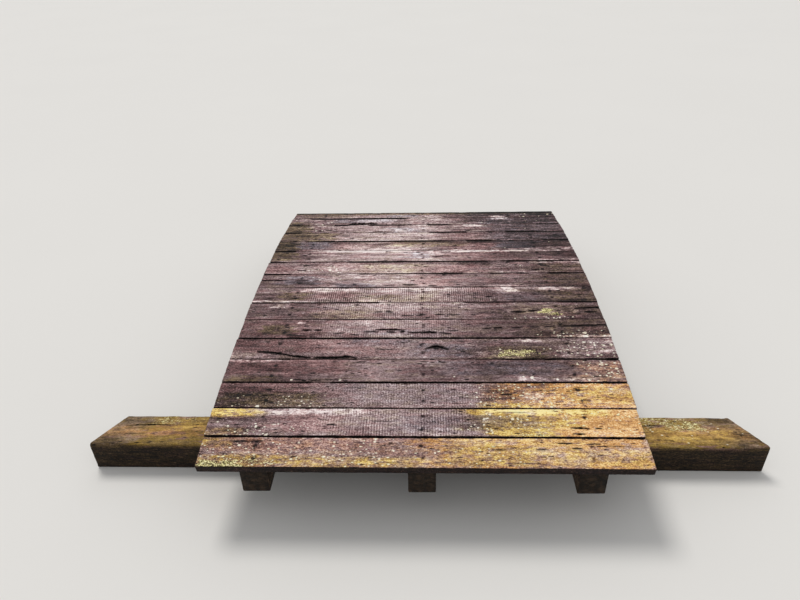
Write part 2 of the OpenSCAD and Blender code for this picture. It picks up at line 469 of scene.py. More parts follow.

# Stains, growth and wear by kind: start and end along the board, start and end across it, strength
# The strong pale strips along the board edges beside the joints are partly worn arrises and partly painted
# highlight
PATCHES = {
    1: {"pale": [(-320, -110, 20, 50, 0.3), (60, 380, 22, 50, 0.35), (380, 620, 22, 50, 0.15),
            (280, 560, -10, 24, 0.25), (-10, 90, -50, -14, 0.35), (-480, -200, -12, 20, 0.2)],
        "gold": [(80, 420, 16, 50, 0.3), (-560, -430, -28, -8, 0.7), (-620, -400, -48, -20, 0.5),
            (-420, 0, -48, -14, 0.5), (60, 340, -40, 30, 0.45), (300, 620, -45, 10, 0.35),
            (-620, -500, 14, 50, 0.5)],
        "orange": [(-620, -20, -60, 60, 0.2), (-20, 620, -60, 60, 0.5), (100, 620, 16, 60, 1),
            (-30, 310, 24, 47, 0.8), (430, 620, -48, -24, 1.2)],
        "moss": [(-605, -480, -50, -26, 1.1), (-520, -380, -40, -18, 0.35)],
        "red": [(-560, -110, 8, 47, 0.9)],
        "lichen": [(-600, -300, -48, 30, 0.7), (-300, 0, -48, 10, 0.8), (0, 300, -45, 20, 0.45),
            (-300, -80, 10, 48, 0.4)],
        "dark": [(-530, -430, 26, 40, 0.5), (-480, -300, -2, 20, 0.15), (-200, 60, -12, 26, 0.15),
            (-620, -400, -48, -10, 0.22), (40, 280, -50, 22, 0.25), (-620, -520, 14, 50, 0.2),
            (200, 300, -50, -12, 0.45)]},
    2: {"pale": [(-620, -465, 22, 50, 0.5), (-480, -250, 28, 50, 0.8), (-280, -180, 24, 50, 0.8),
            (200, 480, 30, 50, 0.9), (-20, 90, -50, -20, 0.4), (470, 640, -48, -20, 0.4),
            (470, 640, 20, 50, 0.3)],
        "gold": [(-620, -465, 22, 50, 1.05), (-620, -500, -50, -20, 0.3), (150, 500, 26, 50, 1.4),
            (200, 400, -20, 24, 0.5), (190, 360, -50, -18, 1.3), (300, 430, -14, 24, 0.8)],
        "orange": [(370, 640, -60, 60, 1.5)],
        "olive": [(120, 320, -30, 28, 0.9)],
        "moss": [(220, 430, 34, 48, 0.6), (200, 350, -48, -24, 0.4)],
        "blue": [(-60, 150, -35, 20, 0.4)],
        "red": [(-430, -230, -34, 26, 0.9)],
        "lichen": [(-600, -400, -50, -32, 1.3), (-600, -300, -34, 0, 0.4), (150, 330, -36, 26, 0.9),
            (380, 620, -40, 44, 0.5)],
        "saw": [(-280, 140, -48, 48, 0.8)],
        "dark": [(-630, -480, -40, 24, 0.6), (-520, -320, -50, 26, 0.25), (-230, -110, -50, -16, 0.3),
            (-30, 200, -48, 20, 0.22), (60, 180, 16, 50, 0.25), (120, 310, -26, 28, 0.5),
            (300, 400, -16, 24, 0.35), (400, 620, -16, 24, 0.15)]},
    3: {"pale": [(300, 620, -48, -16, 0.4), (290, 400, -16, 16, 0.5), (420, 620, 20, 50, 0.4)],
        "gold": [(420, 640, -30, 30, 0.4), (180, 340, -50, -28, 0.6)],
        "orange": [(190, 400, -60, 60, 0.6), (340, 640, -60, 60, 1)],
        "olive": [(-570, -300, -46, 8, 0.9)],
        "blue": [(-240, 150, -30, 50, 0.25)],
        "red": [(-620, -330, 8, 50, 0.8)],
        "lichen": [(-560, -300, -46, 0, 0.7), (160, 460, -48, 44, 1), (440, 620, 0, 48, 0.6)],
        "saw": [(-220, 180, -48, 48, 0.5)],
        "dark": [(-620, -420, -30, 30, 0.4), (-620, -300, -14, 14, 0.55), (-630, -510, -50, -10, 0.7),
            (-320, -260, -16, 20, 0.5), (-340, -180, 12, 50, 0.14), (190, 360, -20, 50, 0.3),
            (190, 320, -20, 20, 0.5), (425, 450, 8, 26, 0.5), (430, 450, -30, -14, 0.5)]},
    4: {"pale": [(-620, -420, 38, 50, 0.9), (-10, 90, 14, 40, 0.35), (250, 350, -46, -26, 0.75),
            (360, 530, -48, -32, 0.8), (470, 640, -40, 40, 0.3)],
        "orange": [(440, 640, -48, 40, 0.25)],
        "olive": [(-620, -450, -48, -24, 0.8)],
        "blue": [(60, 480, -18, 40, 0.5)],
        "red": [(-620, -230, -14, 48, 0.9)],
        "lichen": [(460, 620, -46, 40, 1.1)],
        "dark": [(-620, -230, -14, 40, 0.25), (-540, -200, -48, -14, 0.3), (-90, 90, -48, 10, 0.25),
            (120, 480, -18, 50, 0.22)]},
    5: {"pale": [(-620, -510, -46, -16, 0.6), (140, 185, -42, -32, 0.6), (280, 370, 30, 48, 1.1),
            (80, 240, 14, 50, 0.2), (-10, 90, -50, 0, 0.12), (190, 300, -50, -16, 0.5),
            (390, 520, -50, 14, 0.3), (-530, -420, -50, -24, 0.4), (500, 620, -20, 50, 0.6)],
        "olive": [(200, 400, -48, 10, 0.6)],
        "moss": [(246, 338, -38, -6, 0.72)],
        "blue": [(-40, 140, -42, 24, 0.5), (-240, -40, 10, 50, 0.5)],
        "red": [(-620, -100, -20, 48, 0.8)],
        "lichen": [(400, 620, -40, 34, 1), (560, 620, -24, 50, 1.2)],
        "dark": [(-620, -520, 10, 50, 0.2), (-420, -300, -22, 12, 0.25), (20, 84, -10, 8, 0.3),
            (100, 240, -48, -4, 0.35), (200, 440, -16, 26, 0.2), (320, 420, -50, -12, 0.4)]},
    6: {"pale": [(-438, -398, 27, 36, 1), (-445, -420, -2, 8, 0.8), (-305, -265, -8, -2, 0.7),
            (-620, -500, 14, 50, 0.2), (-220, -100, 14, 50, 0.3), (-120, 0, -50, -24, 0.3),
            (430, 620, -50, -36, 0.9)],
        "olive": [(-530, -430, -30, 20, 0.9), (330, 620, -48, 48, 0.35)],
        "blue": [(-170, 70, -40, -4, 0.4)],
        "red": [(-620, -330, -48, 48, 0.6)],
        "lichen": [(400, 620, -48, -10, 1)],
        "saw": [(-360, 150, -48, 48, 0.6)],
        "dark": [(-530, -430, -30, 16, 0.35), (-440, -330, -50, -16, 0.5), (-420, -310, 16, 40, 0.2),
            (-300, 60, -50, -24, 0.28), (-60, 80, -10, 12, 0.12), (370, 460, -50, -16, 0.2),
            (90, 200, -50, -20, 0.25)]},
    7: {"pale": [(-520, -465, 16, 44, 0.8), (-320, 230, 14, 50, 0.26), (290, 480, -14, 16, 0.6),
            (320, 500, -50, -24, 0.4), (200, 560, 18, 50, 0.3), (470, 510, -6, 2, 0.8),
            (80, 200, 14, 50, 0.6)],
        "olive": [(-360, -170, -48, 6, 0.5), (300, 620, -30, 30, 0.4)],
        "moss": [(400, 454, -32, 10, 0.76)],
        "lichen": [(330, 490, -52, -36, 1.6)],
        "saw": [(-380, 120, -48, 48, 0.75)],
        "dark": [(-430, 60, -50, -12, 0.36), (-500, -380, -16, 16, 0.2), (480, 620, -48, 8, 0.35),
            (170, 300, -20, 14, 0.25), (200, 300, -50, -20, 0.2)]},
    8: {"pale": [(-620, -410, -50, -36, 1.1), (-470, -300, -52, -42, 1), (-620, -500, 14, 50, 0.3),
            (-240, -120, -50, -20, 0.4), (200, 300, -50, -20, 0.2), (-430, -250, 22, 50, 1.4),
            (-430, -310, -16, 16, 0.12), (0, 90, -16, 14, 0.35), (-150, 100, 24, 50, 1.2),
            (250, 335, 14, 50, 1.6), (335, 420, 36, 50, 1.2), (400, 560, 28, 50, 1.5),
            (300, 520, -30, 10, 0.25)],
        "olive": [(-500, -400, -34, 18, 0.8), (-240, 60, -44, 0, 0.4), (440, 620, -48, 30, 0.5)],
        "blue": [(260, 440, -44, 14, 0.4)],
        "red": [(-400, -240, -30, 30, 0.7)],
        "saw": [(-420, 230, -48, 48, 1.2)],
        "dark": [(-480, -420, -30, -8, 0.4), (-620, -500, -36, -10, 0.35), (-200, -100, -20, 14, 0.3),
            (-350, -230, -50, 10, 0.4), (-620, -440, -16, 16, 0.15), (80, 260, -46, 30, 0.35),
            (150, 640, -48, 20, 0.12), (540, 620, 6, 50, 0.4), (380, 620, -50, -20, 0.27)]},
    9: {"pale": [(-530, -440, 14, 44, 0.35), (-320, -200, 14, 46, 0.4), (-420, -300, -8, 24, 0.5),
            (-200, -90, -16, 20, 0.3), (240, 460, -52, -30, 0.7), (-530, -380, -50, -20, 0.25),
            (0, 190, -50, -16, 0.15), (280, 420, 14, 50, 0.25)],
        "olive": [(430, 620, -40, 40, 0.4)],
        "blue": [(-510, -380, -28, 34, 0.9), (-310, -190, -48, -20, 1)],
        "red": [(-30, 110, -40, 40, 0.7)],
        "lichen": [(-400, -290, 0, 40, 0.4)],
        "dark": [(-480, -400, -28, 0, 0.4), (-620, -480, -48, -10, 0.15), (-320, -120, -20, 16, 0.25),
            (-330, -190, -48, -18, 0.5), (180, 300, -48, -14, 0.3), (20, 190, 20, 50, 0.2),
            (380, 620, -48, -16, 0.12), (480, 620, -20, 48, 0.15)]},
    10: {"pale": [(-600, -420, -50, -24, 0.5), (-480, -380, -30, 14, 0.4), (-370, -270, -40, 14, 0.5),
            (-320, -180, -20, 20, 0.35), (290, 400, 14, 50, 0.4), (-140, -30, -50, 14, 0.2),
            (160, 460, -50, -26, 0.4), (430, 640, 30, 48, 1.2), (330, 430, -50, -36, 0.9)],
        "olive": [(-230, 0, -40, 30, 0.5), (430, 620, -40, 26, 0.4)],
        "red": [(-610, -510, -40, 12, 0.9), (-400, -200, -30, 40, 0.5), (0, 240, -44, 20, 0.8)],
        "lichen": [(-470, -290, -32, 30, 0.5)],
        "dark": [(-470, -430, 14, 30, 0.5), (-240, -150, -50, -20, 0.22), (-480, -300, 30, 50, 0.25),
            (-240, 90, 30, 50, 0.5), (120, 260, 16, 50, 0.65), (90, 170, -50, -14, 0.25),
            (460, 620, -50, -20, 0.25), (425, 465, 6, 28, 0.7), (405, 445, -30, -20, 0.5)]},
    11: {"pale": [(-600, -520, -50, -20, 0.4), (-410, -70, 40, 52, 2.2), (-60, 100, 36, 52, 0.9),
            (-120, 20, 10, 40, 0.35), (100, 300, 32, 52, 2), (300, 440, 36, 52, 1.7), (420, 560, 38, 52, 1.3),
            (430, 620, -50, -34, 1), (-10, 90, -50, 20, 0.5), (-440, -330, -10, 24, 0.35),
            (-440, -340, -50, -16, 0.4), (-10, 90, 16, 36, 0.5)],
        "olive": [(-620, -510, -40, 48, 1)],
        "blue": [(-60, 30, -20, 40, 0.6)],
        "red": [(100, 330, -48, 30, 0.6)],
        "dark": [(-620, -500, 0, 50, 0.3), (36, 84, -18, 8, 0.4), (500, 620, -20, 40, 0.25),
            (-120, 10, -50, -16, 0.22)]},
    12: {"pale": [(-160, -30, -20, 16, 0.45), (-540, -440, -50, 10, 0.15), (-420, -60, -52, -42, 2.2),
            (-310, -220, -30, 14, 0.4), (-430, -330, -50, -16, 0.3), (-220, 0, -52, -16, 0.6),
            (100, 400, -52, -42, 1.2), (380, 480, -52, -36, 1.3), (500, 640, -52, -20, 1.2),
            (160, 310, -40, 20, 0.5)],
        "olive": [(-620, -520, -48, 48, 1.2), (-130, 160, -10, 40, 0.7)],
        "blue": [(-520, -380, -30, 44, 0.8), (300, 460, -34, 44, 0.8)],
        "red": [(-400, -180, -30, 24, 0.7), (110, 290, -44, 30, 1)],
        "dark": [(-640, -520, -48, 48, 0.52), (-220, -130, -20, 30, 0.42), (-420, -200, 26, 50, 0.35),
            (-140, 140, 24, 50, 0.5), (140, 300, 24, 50, 0.45), (20, 120, -50, 10, 0.2),
            (400, 620, -24, 40, 0.2)]},
    13: {"pale": [(-440, -280, -20, 14, 0.2), (-20, 80, -50, -16, 0.25), (-560, -420, -50, -16, 0.3),
            (390, 500, -50, 0, 0.3), (-300, -200, -50, -16, 0.35), (-120, 60, 14, 50, 0.45),
            (190, 360, -30, 20, 0.5), (350, 450, -50, -40, 0.7)],
        "olive": [(-620, -390, -48, 48, 1)],
        "blue": [(270, 620, -44, 44, 0.5)],
        "red": [(100, 260, -40, 40, 0.6)],
        "dark": [(-620, -390, -48, 48, 0.22), (-440, -320, 16, 50, 0.2), (180, 260, -50, -16, 0.2),
            (0, 80, -16, 16, 0.3), (-80, 60, 16, 50, 0.15), (-200, -100, 16, 50, 0.15),
            (30, 230, 14, 50, 0.3), (-100, 0, -50, 10, 0.25), (400, 620, -48, 30, 0.22)]},
    14: {"pale": [(-520, -420, 14, 50, 0.5), (170, 260, 26, 50, 1.4), (-240, -100, -16, 20, 0.35),
            (-150, -20, -50, 14, 0.3), (-440, -320, 14, 50, 0.5)],
        "olive": [(-620, -500, -48, 48, 1.2)],
        "blue": [(-150, 0, -50, 14, 0.6), (280, 620, -44, 44, 0.5)],
        "lichen": [(-500, -380, -30, 30, 0.6)],
        "dark": [(-620, -500, -48, 48, 0.42), (-500, -330, -50, -12, 0.25), (-240, -120, -50, -20, 0.5),
            (-220, -80, 16, 50, 0.4), (60, 160, -16, 20, 0.25), (90, 240, -50, -12, 0.5),
            (280, 440, -20, 20, 0.25), (300, 440, -50, -14, 0.12), (20, 110, 14, 50, 0.2)]},
    15: {"pale": [(-240, -120, 18, 50, 0.3), (-620, -380, -4, 50, 0.4), (-320, -180, 14, 50, 0.3),
            (20, 220, -52, -34, 0.6), (-60, 80, 20, 50, 0.3), (190, 300, -50, -16, 0.45),
            (490, 620, -50, -16, 0.4), (-530, -420, -50, -20, 0.4), (316, 380, 12, 50, 1.5)],
        "olive": [(-630, -520, -50, 0, 1)],
        "blue": [(-420, -130, -10, 44, 0.9), (240, 620, -48, 48, 0.5)],
        "lichen": [(-480, -400, -48, 0, 0.8)],
        "dark": [(-630, -520, -50, -14, 0.7), (-540, -420, -18, 16, 0.35), (-320, -230, 26, 50, 0.5),
            (-500, -270, -16, 12, 0.22), (-400, -200, -50, -24, 0.6), (-200, 0, -50, -20, 0.5),
            (60, 160, -50, -20, 0.3), (-120, 0, -20, 40, 0.25), (150, 230, -20, 14, 0.25),
            (480, 620, -16, 50, 0.3), (400, 500, -50, -16, 0.15), (190, 290, -20, 30, 0.2),
            (-160, -100, -6, 10, 0.3)]},
    16: {"pale": [(-420, -180, -44, -14, 0.5), (0, 140, -50, 10, 0.5), (300, 372, -48, -20, 1.6),
            (-150, -20, -20, 16, 0.25), (80, 190, -50, 10, 0.3), (390, 480, -50, 0, 0.4)],
        "olive": [(-620, 620, 10, 50, 1), (-560, -340, -30, 20, 0.5)],
        "blue": [(-150, -20, -30, 16, 0.8), (180, 620, -30, 30, 0.4)],
        "lichen": [(400, 620, -48, 20, 0.7)],
        "dark": [(-620, 620, 20, 54, 0.6), (-520, -280, -54, -42, 1.5), (480, 620, -16, 20, 0.4)]},
    'sill_near': {"gold": [(-850, -640, 0, 50, 0.5), (620, 960, -50, 10, 0.5)],
        "orange": [(-1000, 1000, -30, 20, 0.35)],
        "olive": [(-1010, -880, -70, 70, 0.8), (880, 1010, -70, 70, 0.7)],
        "moss": [(-900, -740, 20, 60, 0.35), (640, 900, 0, 60, 0.4)],
        "lichen": [(620, 1000, -60, 60, 0.2)],
        # Painted shade: the broad dark patch along the middle of the beam lies under the deck
        "dark": [(-1010, -900, -70, 70, 0.15), (920, 1010, -70, 70, 0.3), (-600, 600, -70, 70, 0.6)]},
    'sill_far': {"orange": [(-600, 600, -30, 20, 0.3)],
        "olive": [(200, 620, -60, 60, 0.6)],
        "moss": [(-620, -420, 0, 60, 0.5)],
        "lichen": [(-620, 620, 10, 60, 0.3)],
        # Painted shade: the broad dark patch along the middle of the beam lies under the deck
        "dark": [(-560, 560, -70, 70, 0.5)]},
}

# Lichen crusts: place along and across the board, and size
CRUSTS = {
    1: [(-125, 42, 9), (-600, 18, 6), (-540, 8, 6), (-430, 2, 6), (-368, 22, 6), (-340, -4, 7),
        (-250, -16, 6), (-262, -34, 7), (-75, 6, 6), (35, 0, 8), (60, 0, 5), (-55, -40, 6), (-200, 26, 5),
        (-410, -42, 6)],
    2: [(-540, -16, 10), (-462, -16, 11), (-447, -33, 7), (-240, -40, 5), (-290, -8, 4), (250, 12, 11),
        (262, 18, 6), (170, -6, 8), (188, -22, 7), (192, -34, 9), (398, -8, 8), (345, 8, 5), (106, -24, 5),
        (-90, -40, 5)],
    3: [(-472, -45, 13), (-590, -30, 6), (-430, -44, 6), (-335, -24, 5), (275, -42, 9), (240, -24, 6),
        (215, -12, 5)],
    4: [(-390, -40, 10), (-245, -40, 11), (-75, 20, 6), (325, -30, 15), (300, -26, 8), (398, -38, 12),
        (490, -40, 11), (562, -8, 8), (545, -22, 9), (520, -4, 6), (-22, 2, 5), (95, -26, 6)],
    5: [(243, -4, 10), (98, -2, 7), (474, 4, 9), (545, -24, 6), (430, -8, 5), (590, 14, 8), (596, -4, 7)],
    6: [(440, -38, 9), (450, -46, 7), (522, -42, 15), (548, -36, 8), (505, -12, 7), (590, 8, 6),
        (580, -40, 9)],
    7: [(-240, 25, 7), (65, 34, 6), (343, -45, 7), (360, -42, 5), (436, -44, 9), (455, -44, 9),
        (476, -38, 6)],
    8: [(238, -37, 7), (25, 24, 6)],
    9: [(-380, 6, 8), (-320, 16, 7)],
    10: [(370, 8, 8), (440, -18, 7), (-350, -24, 8), (-380, -22, 7)],
    11: [(2, -26, 7), (-405, -20, 6)],
    12: [(-418, 6, 9), (515, 30, 10), (330, -28, 7)],
    14: [(275, 30, 9), (440, -12, 8)],
    15: [(262, -28, 9), (-580, 30, 8), (458, -8, 7), (505, -8, 7)],
    16: [(240, 40, 8)],
}

# Each board's tone at its left end, where it is trodden and at its right end, where 0 is black and 1 is
# bleached, the pale trodden tone being partly wear and partly a painted sheen of the sky; where the trodden
# tone begins and ends to turn into the right end's; how strongly its grit shows
WEATHERING_AND_SHEEN = {
    1: (0.53, 0.56, 0.66, 0, 150, 0.17),
    2: (0.59, 0.61, 0.71, 120, 300, 0.14),
    3: (0.41, 0.56, 0.63, 200, 460, 0.16),
    4: (0.4, 0.54, 0.42, -100, 250, 0.1),
    5: (0.37, 0.54, 0.4, -100, 250, 0.14),
    6: (0.36, 0.65, 0.32, -100, 380, 0.11),
    7: (0.38, 0.65, 0.37, -100, 350, 0.11),
    8: (0.42, 0.63, 0.34, 40, 420, 0.1),
    9: (0.41, 0.72, 0.31, -120, 480, 0.1),
    10: (0.46, 0.7, 0.39, -120, 440, 0.12),
    11: (0.41, 0.71, 0.33, -140, 540, 0.09),
    12: (0.41, 0.65, 0.28, -60, 350, 0.11),
    13: (0.49, 0.74, 0.25, -60, 450, 0.12),
    14: (0.51, 0.71, 0.36, 20, 420, 0.13),
    15: (0.48, 0.7, 0.31, -20, 260, 0.14),
    16: (0.44, 0.59, 0.23, -20, 200, 0.14),
}
# Places of a board's left end and of its trodden middle, pale from wear and from a painted sheen
LEFT_PLACE = -570
TRODDEN_SHEEN_PLACE = -140
# How far the boards stray from an even tone in broad streaks: near the viewer and at the far end
STREAK_NEAR = 0.05
STREAK_FAR = 0.1
TONE_STREAKS = [(1, 110, 13), (0.7, 45, 7)]
# Stains: how far their edges drift, how uneven they are and the widest that their soft edges are
KINDS = ("pale", "gold", "orange", "olive", "moss", "blue", "red", "lichen", "saw", "dark")
PAINTED = KINDS[:-1]
STAIN_DRIFT_ALONG = [(34, 46, 12), (14, 11, 5)]
STAIN_DRIFT_ACROSS = [(4, 46, 14), (2, 11, 6)]
STAIN_BLOTCHES = [(1, 30, 11), (0.6, 10, 6)]
STAIN_EDGE_ALONG = 110
STAIN_EDGE_ACROSS = 12
DARK_DROP = 0.4
CRUST_SHARE = 0.42
# Distance between the points along a timber
BOARD_STEP = 3.6
BEARER_STEP = 5.2
SILL_STEP = 5
# Size of a board's surface grit along and across it, at the near end and at the far end
GRIT_NEAR = (4.4, 2.8)
GRIT_FAR = (7, 11)
SIDE_ROUGH = 0.14
SILL_ROUGH = 0.07
# Tone and algae of a board's sides and underside, and of a sill beam's: a dark tone, partly damp dirt and
# partly painted shade
SIDE_DIRT_AND_SHADE_TONE = 0.03
HIDDEN_OLIVE = 0.4
SILL_SIDE_DIRT_AND_SHADE_TONE = 0.08
SILL_HIDDEN_OLIVE = 0.7
# Reach of the painted shade beside an open joint, on the board before it and on the board beyond it, each at
# the near end and at the far end, as for all the darkening that follows
JOINT_SHADE_BEFORE = (1.6, 7)
JOINT_SHADE_BEYOND = (1, 3)
JOINT_SHADE_DROP = 0.75
# Painted shade beside deep splits: its reach, and the split depth from which it begins
SPLIT_SHADE = (1.5, 7)
SHADED_SPLIT_DEPTH = 4
NAIL_STAIN = (0.9, 0.55)
NAIL_STAIN_WIDTH = (12, 34)
# Radius of a board's upper arrises, what an open joint and missing splinters add, and of its lower ones
UPPER_WEAR = 0.9
OPEN_WEAR = 0.9
CHIP_WEAR = 0.7
CHIP_COUNT = 9
UNDER_WEAR = 1.2
END_WEAR = 0.4  # how far the deck's outer edges have worn back
SPLIT_CLEARANCE = 3
# How far a board edge lies past its line at a closed joint and back from it at an open one
CLOSED_REACH = BOARD_GAP / 2 - 0.2
OPEN_REACH = 2.2
JOINT_TURN = 16
JOINT_VARIATION = [(0.25, 30, 1), (0.12, 9, 1)]
DECK_FIBRES = [(0.3, 85, 5), (0.18, 26, 2.4)]
SAWN_FIBRES = [(0.6, 70, 9), (0.4, 18, 4)]
SILL_STREAKS = [(0.09, 160, 22), (0.07, 50, 9)]

# Long lines in the top of a sill beam, as for the boards
SILL_SPLITS = [
    ([(-1000, 18), (-700, 24), (0, 20), (1000, 26)],
     [(-960, -820, 3, 6), (-720, -640, 2, 4), (640, 760, 3, 6)]),
    ([(-1000, -28), (-500, -22), (0, -24), (1000, -30)], [(-900, -760, 2.5, 5), (760, 930, 3, 6)]),
]

# Nail: radius and height over the board's surface, from the top of the head to the point
NAIL_PROFILE = [(1.2, 0.3), (2.6, 0.2), (3.5, -0.1), (3.8, -0.6), (3.3, -1.1), (1.7, -1.3), (1.7, -54),
                (0.3, -61)]
NAIL_HEAD_DEPTH = -2
NAIL_SIDES = 12


def board_number(name):
    return int(name.rsplit("_", 1)[1])


def box_size(name):
    """Size of a node's box in x, y and z, in millimetres"""
    low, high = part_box(name)
    return [(far - near) / MM for near, far in zip(low, high)]


def middle_x(name):
    low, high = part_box(name)
    return (low.x + high.x) / 2 / MM


def box_seat(name):
    """Middle of a node's box in x and y, and the height of its underside, in millimetres"""
    low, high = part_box(name)
    middle = (low + high) / 2 / MM
    return middle.x, middle.y, low.z / MM


def patch_mask(key, kind, x, v):
    """Strength of one kind of stain over a timber"""
    total = np.zeros(np.broadcast(x, v).shape)
    seed = STAIN_SEED + 40 * list(PATCHES).index(key) + KINDS.index(kind)
    drift_x = layered_noise(0, x, v, STAIN_DRIFT_ALONG, seed)
    drift_v = layered_noise(0, x, v, STAIN_DRIFT_ACROSS, seed + 2)
    blotches = layered_noise(0, x, v, STAIN_BLOTCHES, seed + 4)
    for x0, x1, v0, v1, strength in PATCHES[key].get(kind, ()):
        soft_x = min(STAIN_EDGE_ALONG, 0.5 * (x1 - x0))
        soft_v = min(STAIN_EDGE_ACROSS, 0.4 * (v1 - v0))
        along = window(x + drift_x, x0 + soft_x / 2, x1 - soft_x / 2, soft_x)
        across = window(v + drift_v, v0 + soft_v / 2, v1 - soft_v / 2, soft_v)
        total = np.maximum(total, strength * along * across * (1 + 0.6 * blotches))
    return total


def joint_open(number, x):
    """How far the joint beyond a board is open along its length, where 1 is as built"""
    if number not in JOINTS:
        return np.ones_like(x)
    level, *changes = JOINTS[number]
    level = np.full_like(x, level)
    for place, opening in zip(changes[::2], changes[1::2]):
        share = ease((x - place) / JOINT_TURN + 0.5)
        level = level * (1 - share) + opening * share
    return level * layered_noise(1, x, number, JOINT_VARIATION, JOINT_SEED)


def joint_set_back(opening):
    """How far a board edge at a joint lies back from its line: less than 0 where the joint has closed"""
    return (opening - 1) * np.where(opening < 1, CLOSED_REACH, OPEN_REACH)


def chips(x, seed, count):
    """Extra wear along an arris where splinters have gone"""
    rng = np.random.default_rng(seed)
    wear = np.zeros_like(x)
    for _ in range(count):
        middle = rng.uniform(x[0], x[-1])
        reach = rng.uniform(6, 45) / 2
        wear = np.maximum(wear, rng.uniform(1, 4.5) * window(x, middle - reach, middle + reach, 5))
    return wear


def weathered_and_sheen_tone(number, x, v):
    """Tone of a board before its stains: pale in its middle, partly trodden wear and partly painted sheen,
    with broad streaks along the grain
    """
    left, trodden_sheen, right, start, end, _ = WEATHERING_AND_SHEEN[number]
    tone = left + (trodden_sheen - left) * ease((x - LEFT_PLACE) / (TRODDEN_SHEEN_PLACE - LEFT_PLACE))
    tone = tone + (right - trodden_sheen) * ease((x - start) / (end - start))
    streaks = layered_noise(0, x, v, TONE_STREAKS, TONE_SEED + 10 * number)
    return tone + (STREAK_NEAR + (STREAK_FAR - STREAK_NEAR) * ease((number - 4) / 6)) * streaks


def place_board(name):
    """Function from a deck board's own axes to the part's, in millimetres"""
    angle = (board_number(name) - (len(BOARDS) + 1) / 2) * PITCH_ANGLE
    centre_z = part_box(BEARERS[0])[1].z / MM - CAMBER_RADIUS
    shift = middle_x(name)

    def place(s, v, h):
        reach = CAMBER_RADIUS + h
        y = reach * math.sin(angle) + v * math.cos(angle)
        z = centre_z + reach * math.cos(angle) - v * math.sin(angle)
        return s + shift, y, z

    return place


def nail_places(name):
    """Places of a board's nails in its own axes: two over each bearer, from the left bearer to the right"""
    rng = np.random.default_rng(NAIL_PLACE_SEED + board_number(name))
    places = []
    for bearer in BEARERS:
        for side in (-1, 1):
            x = middle_x(bearer) - middle_x(name) + rng.uniform(-4, 4)
            places.append((x, side * (BOARD_WIDTH / 2 - NAIL_INSET) + rng.uniform(-3, 3)))
    return places


def deck_relief(name):
    """Worn relief of a board's top: how far it lies under the sawn face, in millimetres"""
    seed = RELIEF_SEED + 30 * board_number(name)
    cup = np.random.default_rng(seed).uniform(0.1, 0.6)
    nails = nail_places(name)

    def relief(s, along):
        v = along - BOARD_WIDTH / 2
        fibres = layered_noise(0, s, along, DECK_FIBRES, seed)
        hollow = cup * (1 - (v / (BOARD_WIDTH / 2)) ** 2) + 0.5 * window(s, -260, 120, 260)
        dents = sum(1.2 * np.exp(-((s - x) ** 2 + (v - y) ** 2) / 24) for x, y in nails)
        return np.maximum(0.02, 0.5 + fibres + hollow + dents)

    return relief


def rough_side(seed, size):
    """Rough-sawn relief of a damp side face, in millimetres"""
    return lambda s, along: 0.3 + size * layered_noise(0, s, along, SAWN_FIBRES, seed)


def add_piece(bar, name, place, masks, slot, grain_start):
    """Blender piece of a bar, which stands for the node of that name"""
    bar.grain[0] = bar.grain[0] + grain_start
    mesh = bar.mesh("worn_" + name, place, masks | {"crack_shade": bar.crack_shading, "end": bar.end})
    mesh.materials.append(MATERIALS[slot])
    piece = new_object("worn_" + name, mesh)
    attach(piece, "root")
    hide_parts(name)


